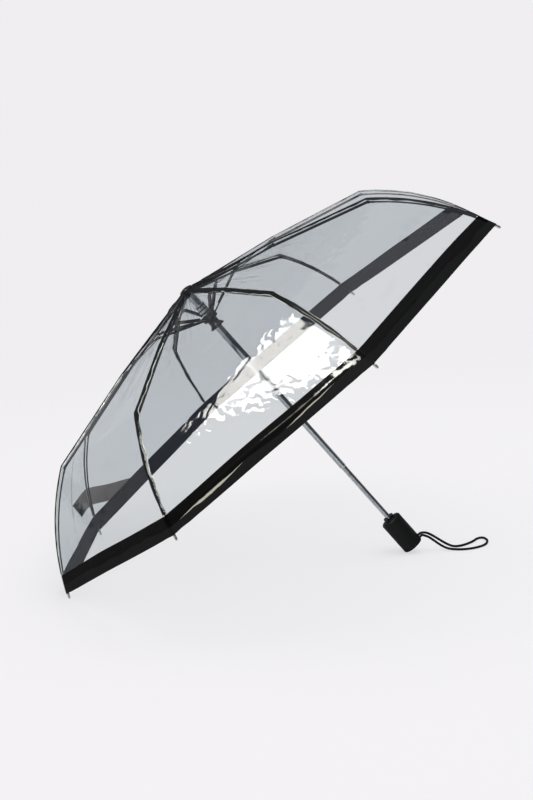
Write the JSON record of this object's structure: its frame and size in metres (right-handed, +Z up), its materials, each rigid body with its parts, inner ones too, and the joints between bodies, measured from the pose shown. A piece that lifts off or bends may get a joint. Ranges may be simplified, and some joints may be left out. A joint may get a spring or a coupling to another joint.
{
  "type": "folding umbrella",
  "caption": "Open folding umbrella with a clear canopy and a dark hem, folding ribs, a sliding runner, a telescopic shaft and a short handle with a wrist cord.",
  "frame": {"origin": "on the floor, under the middle of the bounding box of the open umbrella without its cord", "axes": "+Z up, +Y from the rib tip that faces the viewer to the far one, across the two tips that stand on the floor; the shaft leans in the XZ plane, from the crown at -X down to the handle at +X"},
  "size_m": [0.7254, 0.8536, 0.5811],
  "materials": {
    "clear_film": "clear, glossy, lightly creased film",
    "black_fabric": "black, slightly glossy woven edge",
    "strap_fabric": "thin grey-brown strap",
    "black_plastic": "black moulded plastic",
    "soft_black": "soft-touch matt black",
    "black_cord": "black round cord",
    "chrome": "bright chromed steel tube",
    "black_steel": "satin black steel rib"
  },
  "bodies": {
    "frame": {"crown_hub": "black_plastic", "crown_cap": "black_plastic", "top_tube": "chrome", "top_stop": "black_plastic", "canopy_film": "clear_film", "canopy_hem": "black_fabric", "closing_strap": "strap_fabric", "strap_patch": "black_fabric"},
    "runner": {"runner": "black_plastic"},
    "middle_tube": {"middle_tube": "chrome"},
    "handle": {"bottom_tube": "chrome", "handle_shell": "soft_black", "handle_sleeve": "black_plastic", "handle_roll_pin": "chrome", "handle_end_cap": "black_plastic", "cord_clamp": "black_plastic", "wrist_cord": "black_cord"},
    "top_rib_1": {"top_rib_1": "black_steel"},
    "strut_1": {"strut_1": "black_steel"},
    "link_1": {"link_1": "black_steel"},
    "middle_rib_1": {"middle_rib_1": "black_steel"},
    "outer_rib_1": {"outer_rib_1": "black_steel"},
    "top_rib_2": {"top_rib_2": "black_steel"},
    "strut_2": {"strut_2": "black_steel"},
    "link_2": {"link_2": "black_steel"},
    "middle_rib_2": {"middle_rib_2": "black_steel"},
    "outer_rib_2": {"outer_rib_2": "black_steel"},
    "top_rib_3": {"top_rib_3": "black_steel"},
    "strut_3": {"strut_3": "black_steel"},
    "link_3": {"link_3": "black_steel"},
    "middle_rib_3": {"middle_rib_3": "black_steel"},
    "outer_rib_3": {"outer_rib_3": "black_steel"},
    "top_rib_4": {"top_rib_4": "black_steel"},
    "strut_4": {"strut_4": "black_steel"},
    "link_4": {"link_4": "black_steel"},
    "middle_rib_4": {"middle_rib_4": "black_steel"},
    "outer_rib_4": {"outer_rib_4": "black_steel"},
    "top_rib_5": {"top_rib_5": "black_steel"},
    "strut_5": {"strut_5": "black_steel"},
    "link_5": {"link_5": "black_steel"},
    "middle_rib_5": {"middle_rib_5": "black_steel"},
    "outer_rib_5": {"outer_rib_5": "black_steel"},
    "top_rib_6": {"top_rib_6": "black_steel"},
    "strut_6": {"strut_6": "black_steel"},
    "link_6": {"link_6": "black_steel"},
    "middle_rib_6": {"middle_rib_6": "black_steel"},
    "outer_rib_6": {"outer_rib_6": "black_steel"},
    "top_rib_7": {"top_rib_7": "black_steel"},
    "strut_7": {"strut_7": "black_steel"},
    "link_7": {"link_7": "black_steel"},
    "middle_rib_7": {"middle_rib_7": "black_steel"},
    "outer_rib_7": {"outer_rib_7": "black_steel"},
    "top_rib_8": {"top_rib_8": "black_steel"},
    "strut_8": {"strut_8": "black_steel"},
    "link_8": {"link_8": "black_steel"},
    "middle_rib_8": {"middle_rib_8": "black_steel"},
    "outer_rib_8": {"outer_rib_8": "black_steel"}
  },
  "joints": [
    {"name": "runner_slide", "type": "slide", "parent": "frame", "child": "runner", "axis": [0.6245, 0, -0.781], "range_m": [0, 0.13115], "deforming": ["canopy_film", "canopy_hem", "closing_strap", "strap_patch"]},
    {"name": "middle_tube_slide", "type": "slide", "parent": "frame", "child": "middle_tube", "axis": [-0.6245, 0, 0.781], "range_m": [0, 0.175]},
    {"name": "bottom_tube_slide", "type": "slide", "parent": "middle_tube", "child": "handle", "axis": [-0.6245, 0, 0.781], "range_m": [0, 0.104]},
    {"name": "top_rib_1_hinge", "type": "hinge", "parent": "frame", "child": "top_rib_1", "pos_m": [-0.11557, -0.00364, 0.4337], "axis": [0.2989, -0.9239, 0.239], "range_deg": [0, 77.28]},
    {"name": "strut_1_hinge", "type": "hinge", "parent": "top_rib_1", "child": "strut_1", "pos_m": [-0.16833, -0.0371, 0.37032], "axis": [0.2989, -0.9239, 0.239], "range_deg": [-144.92, 0]},
    {"name": "link_1_hinge", "type": "hinge", "parent": "strut_1", "child": "link_1", "pos_m": [-0.15974, -0.0337, 0.37275], "axis": [0.2989, -0.9239, 0.239], "range_deg": [0, 148.37]},
    {"name": "middle_rib_1_hinge", "type": "hinge", "parent": "top_rib_1", "child": "middle_rib_1", "pos_m": [-0.21343, -0.06447, 0.32094], "axis": [0.2989, -0.9239, 0.239], "range_deg": [-180.72, 0]},
    {"name": "outer_rib_1_hinge", "type": "hinge", "parent": "middle_rib_1", "child": "outer_rib_1", "pos_m": [-0.30444, -0.12726, 0.19199], "axis": [0.2989, -0.9239, 0.239], "range_deg": [0, 141.9]},
    {"name": "top_rib_2_hinge", "type": "hinge", "parent": "frame", "child": "top_rib_2", "pos_m": [-0.11155, -0.00878, 0.43691], "axis": [0.7215, -0.3827, 0.577], "range_deg": [0, 77.28]},
    {"name": "strut_2_hinge", "type": "hinge", "parent": "top_rib_2", "child": "strut_2", "pos_m": [-0.12735, -0.08957, 0.40308], "axis": [0.7215, -0.3827, 0.577], "range_deg": [-144.92, 0]},
    {"name": "link_2_hinge", "type": "hinge", "parent": "strut_2", "child": "link_2", "pos_m": [-0.12253, -0.08135, 0.40251], "axis": [0.7215, -0.3827, 0.577], "range_deg": [0, 148.37]},
    {"name": "middle_rib_2_hinge", "type": "hinge", "parent": "top_rib_2", "child": "middle_rib_2", "pos_m": [-0.14223, -0.15564, 0.37787], "axis": [0.7215, -0.3827, 0.577], "range_deg": [-180.72, 0]},
    {"name": "outer_rib_2_hinge", "type": "hinge", "parent": "middle_rib_2", "child": "outer_rib_2", "pos_m": [-0.16387, -0.30724, 0.30439], "axis": [0.7215, -0.3827, 0.577], "range_deg": [0, 141.9]},
    {"name": "top_rib_3_hinge", "type": "hinge", "parent": "frame", "child": "top_rib_3", "pos_m": [-0.10587, -0.00878, 0.44145], "axis": [0.7215, 0.3827, 0.577], "range_deg": [0, 77.28]},
    {"name": "strut_3_hinge", "type": "hinge", "parent": "top_rib_3", "child": "strut_3", "pos_m": [-0.0694, -0.08957, 0.44943], "axis": [0.7215, 0.3827, 0.577], "range_deg": [-144.92, 0]},
    {"name": "link_3_hinge", "type": "hinge", "parent": "strut_3", "child": "link_3", "pos_m": [-0.06989, -0.08135, 0.44459], "axis": [0.7215, 0.3827, 0.577], "range_deg": [0, 148.37]},
    {"name": "middle_rib_3_hinge", "type": "hinge", "parent": "top_rib_3", "child": "middle_rib_3", "pos_m": [-0.04153, -0.15564, 0.4584], "axis": [0.7215, 0.3827, 0.577], "range_deg": [-180.72, 0]},
    {"name": "outer_rib_3_hinge", "type": "hinge", "parent": "middle_rib_3", "child": "outer_rib_3", "pos_m": [0.03491, -0.30724, 0.46335], "axis": [0.7215, 0.3827, 0.577], "range_deg": [0, 141.9]},
    {"name": "top_rib_4_hinge", "type": "hinge", "parent": "frame", "child": "top_rib_4", "pos_m": [-0.10186, -0.00364, 0.44466], "axis": [0.2989, 0.9239, 0.239], "range_deg": [0, 77.28]},
    {"name": "strut_4_hinge", "type": "hinge", "parent": "top_rib_4", "child": "strut_4", "pos_m": [-0.02842, -0.0371, 0.48219], "axis": [0.2989, 0.9239, 0.239], "range_deg": [-144.92, 0]},
    {"name": "link_4_hinge", "type": "hinge", "parent": "strut_4", "child": "link_4", "pos_m": [-0.03268, -0.0337, 0.47435], "axis": [0.2989, 0.9239, 0.239], "range_deg": [0, 148.37]},
    {"name": "middle_rib_4_hinge", "type": "hinge", "parent": "top_rib_4", "child": "middle_rib_4", "pos_m": [0.02967, -0.06447, 0.51533], "axis": [0.2989, 0.9239, 0.239], "range_deg": [-180.72, 0]},
    {"name": "outer_rib_4_hinge", "type": "hinge", "parent": "middle_rib_4", "child": "outer_rib_4", "pos_m": [0.17547, -0.12726, 0.57575], "axis": [0.2989, 0.9239, 0.239], "range_deg": [0, 141.9]},
    {"name": "top_rib_5_hinge", "type": "hinge", "parent": "frame", "child": "top_rib_5", "pos_m": [-0.10186, 0.00364, 0.44466], "axis": [-0.2989, 0.9239, -0.239], "range_deg": [0, 77.28]},
    {"name": "strut_5_hinge", "type": "hinge", "parent": "top_rib_5", "child": "strut_5", "pos_m": [-0.02842, 0.0371, 0.48219], "axis": [-0.2989, 0.9239, -0.239], "range_deg": [-144.92, 0]},
    {"name": "link_5_hinge", "type": "hinge", "parent": "strut_5", "child": "link_5", "pos_m": [-0.03268, 0.0337, 0.47435], "axis": [-0.2989, 0.9239, -0.239], "range_deg": [0, 148.37]},
    {"name": "middle_rib_5_hinge", "type": "hinge", "parent": "top_rib_5", "child": "middle_rib_5", "pos_m": [0.02967, 0.06447, 0.51533], "axis": [-0.2989, 0.9239, -0.239], "range_deg": [-180.72, 0]},
    {"name": "outer_rib_5_hinge", "type": "hinge", "parent": "middle_rib_5", "child": "outer_rib_5", "pos_m": [0.17547, 0.12726, 0.57575], "axis": [-0.2989, 0.9239, -0.239], "range_deg": [0, 141.9]},
    {"name": "top_rib_6_hinge", "type": "hinge", "parent": "frame", "child": "top_rib_6", "pos_m": [-0.10587, 0.00878, 0.44145], "axis": [-0.7215, 0.3827, -0.577], "range_deg": [0, 77.28]},
    {"name": "strut_6_hinge", "type": "hinge", "parent": "top_rib_6", "child": "strut_6", "pos_m": [-0.0694, 0.08957, 0.44943], "axis": [-0.7215, 0.3827, -0.577], "range_deg": [-144.92, 0]},
    {"name": "link_6_hinge", "type": "hinge", "parent": "strut_6", "child": "link_6", "pos_m": [-0.06989, 0.08135, 0.44459], "axis": [-0.7215, 0.3827, -0.577], "range_deg": [0, 148.37]},
    {"name": "middle_rib_6_hinge", "type": "hinge", "parent": "top_rib_6", "child": "middle_rib_6", "pos_m": [-0.04153, 0.15564, 0.4584], "axis": [-0.7215, 0.3827, -0.577], "range_deg": [-180.72, 0]},
    {"name": "outer_rib_6_hinge", "type": "hinge", "parent": "middle_rib_6", "child": "outer_rib_6", "pos_m": [0.03491, 0.30724, 0.46335], "axis": [-0.7215, 0.3827, -0.577], "range_deg": [0, 141.9]},
    {"name": "top_rib_7_hinge", "type": "hinge", "parent": "frame", "child": "top_rib_7", "pos_m": [-0.11155, 0.00878, 0.43691], "axis": [-0.7215, -0.3827, -0.577], "range_deg": [0, 77.28]},
    {"name": "strut_7_hinge", "type": "hinge", "parent": "top_rib_7", "child": "strut_7", "pos_m": [-0.12735, 0.08957, 0.40308], "axis": [-0.7215, -0.3827, -0.577], "range_deg": [-144.92, 0]},
    {"name": "link_7_hinge", "type": "hinge", "parent": "strut_7", "child": "link_7", "pos_m": [-0.12253, 0.08135, 0.40251], "axis": [-0.7215, -0.3827, -0.577], "range_deg": [0, 148.37]},
    {"name": "middle_rib_7_hinge", "type": "hinge", "parent": "top_rib_7", "child": "middle_rib_7", "pos_m": [-0.14223, 0.15564, 0.37787], "axis": [-0.7215, -0.3827, -0.577], "range_deg": [-180.72, 0]},
    {"name": "outer_rib_7_hinge", "type": "hinge", "parent": "middle_rib_7", "child": "outer_rib_7", "pos_m": [-0.16387, 0.30724, 0.30439], "axis": [-0.7215, -0.3827, -0.577], "range_deg": [0, 141.9]},
    {"name": "top_rib_8_hinge", "type": "hinge", "parent": "frame", "child": "top_rib_8", "pos_m": [-0.11557, 0.00364, 0.4337], "axis": [-0.2989, -0.9239, -0.239], "range_deg": [0, 77.28]},
    {"name": "strut_8_hinge", "type": "hinge", "parent": "top_rib_8", "child": "strut_8", "pos_m": [-0.16833, 0.0371, 0.37032], "axis": [-0.2989, -0.9239, -0.239], "range_deg": [-144.92, 0]},
    {"name": "link_8_hinge", "type": "hinge", "parent": "strut_8", "child": "link_8", "pos_m": [-0.15974, 0.0337, 0.37275], "axis": [-0.2989, -0.9239, -0.239], "range_deg": [0, 148.37]},
    {"name": "middle_rib_8_hinge", "type": "hinge", "parent": "top_rib_8", "child": "middle_rib_8", "pos_m": [-0.21343, 0.06447, 0.32094], "axis": [-0.2989, -0.9239, -0.239], "range_deg": [-180.72, 0]},
    {"name": "outer_rib_8_hinge", "type": "hinge", "parent": "middle_rib_8", "child": "outer_rib_8", "pos_m": [-0.30444, 0.12726, 0.19199], "axis": [-0.2989, -0.9239, -0.239], "range_deg": [0, 141.9]}
  ],
  "couplings": [
    {"joint": "top_rib_1_hinge", "follows": "runner_slide", "rad_per_m": 10.271},
    {"joint": "strut_1_hinge", "follows": "runner_slide", "rad_per_m": -19.272},
    {"joint": "link_1_hinge", "follows": "runner_slide", "rad_per_m": 19.732},
    {"joint": "middle_rib_1_hinge", "follows": "runner_slide", "rad_per_m": -24.037},
    {"joint": "outer_rib_1_hinge", "follows": "runner_slide", "rad_per_m": 18.871},
    {"joint": "top_rib_2_hinge", "follows": "runner_slide", "rad_per_m": 10.271},
    {"joint": "strut_2_hinge", "follows": "runner_slide", "rad_per_m": -19.272},
    {"joint": "link_2_hinge", "follows": "runner_slide", "rad_per_m": 19.732},
    {"joint": "middle_rib_2_hinge", "follows": "runner_slide", "rad_per_m": -24.037},
    {"joint": "outer_rib_2_hinge", "follows": "runner_slide", "rad_per_m": 18.871},
    {"joint": "top_rib_3_hinge", "follows": "runner_slide", "rad_per_m": 10.271},
    {"joint": "strut_3_hinge", "follows": "runner_slide", "rad_per_m": -19.272},
    {"joint": "link_3_hinge", "follows": "runner_slide", "rad_per_m": 19.732},
    {"joint": "middle_rib_3_hinge", "follows": "runner_slide", "rad_per_m": -24.037},
    {"joint": "outer_rib_3_hinge", "follows": "runner_slide", "rad_per_m": 18.871},
    {"joint": "top_rib_4_hinge", "follows": "runner_slide", "rad_per_m": 10.271},
    {"joint": "strut_4_hinge", "follows": "runner_slide", "rad_per_m": -19.272},
    {"joint": "link_4_hinge", "follows": "runner_slide", "rad_per_m": 19.732},
    {"joint": "middle_rib_4_hinge", "follows": "runner_slide", "rad_per_m": -24.037},
    {"joint": "outer_rib_4_hinge", "follows": "runner_slide", "rad_per_m": 18.871},
    {"joint": "top_rib_5_hinge", "follows": "runner_slide", "rad_per_m": 10.271},
    {"joint": "strut_5_hinge", "follows": "runner_slide", "rad_per_m": -19.272},
    {"joint": "link_5_hinge", "follows": "runner_slide", "rad_per_m": 19.732},
    {"joint": "middle_rib_5_hinge", "follows": "runner_slide", "rad_per_m": -24.037},
    {"joint": "outer_rib_5_hinge", "follows": "runner_slide", "rad_per_m": 18.871},
    {"joint": "top_rib_6_hinge", "follows": "runner_slide", "rad_per_m": 10.271},
    {"joint": "strut_6_hinge", "follows": "runner_slide", "rad_per_m": -19.272},
    {"joint": "link_6_hinge", "follows": "runner_slide", "rad_per_m": 19.732},
    {"joint": "middle_rib_6_hinge", "follows": "runner_slide", "rad_per_m": -24.037},
    {"joint": "outer_rib_6_hinge", "follows": "runner_slide", "rad_per_m": 18.871},
    {"joint": "top_rib_7_hinge", "follows": "runner_slide", "rad_per_m": 10.271},
    {"joint": "strut_7_hinge", "follows": "runner_slide", "rad_per_m": -19.272},
    {"joint": "link_7_hinge", "follows": "runner_slide", "rad_per_m": 19.732},
    {"joint": "middle_rib_7_hinge", "follows": "runner_slide", "rad_per_m": -24.037},
    {"joint": "outer_rib_7_hinge", "follows": "runner_slide", "rad_per_m": 18.871},
    {"joint": "top_rib_8_hinge", "follows": "runner_slide", "rad_per_m": 10.271},
    {"joint": "strut_8_hinge", "follows": "runner_slide", "rad_per_m": -19.272},
    {"joint": "link_8_hinge", "follows": "runner_slide", "rad_per_m": 19.732},
    {"joint": "middle_rib_8_hinge", "follows": "runner_slide", "rad_per_m": -24.037},
    {"joint": "outer_rib_8_hinge", "follows": "runner_slide", "rad_per_m": 18.871}
  ]
}
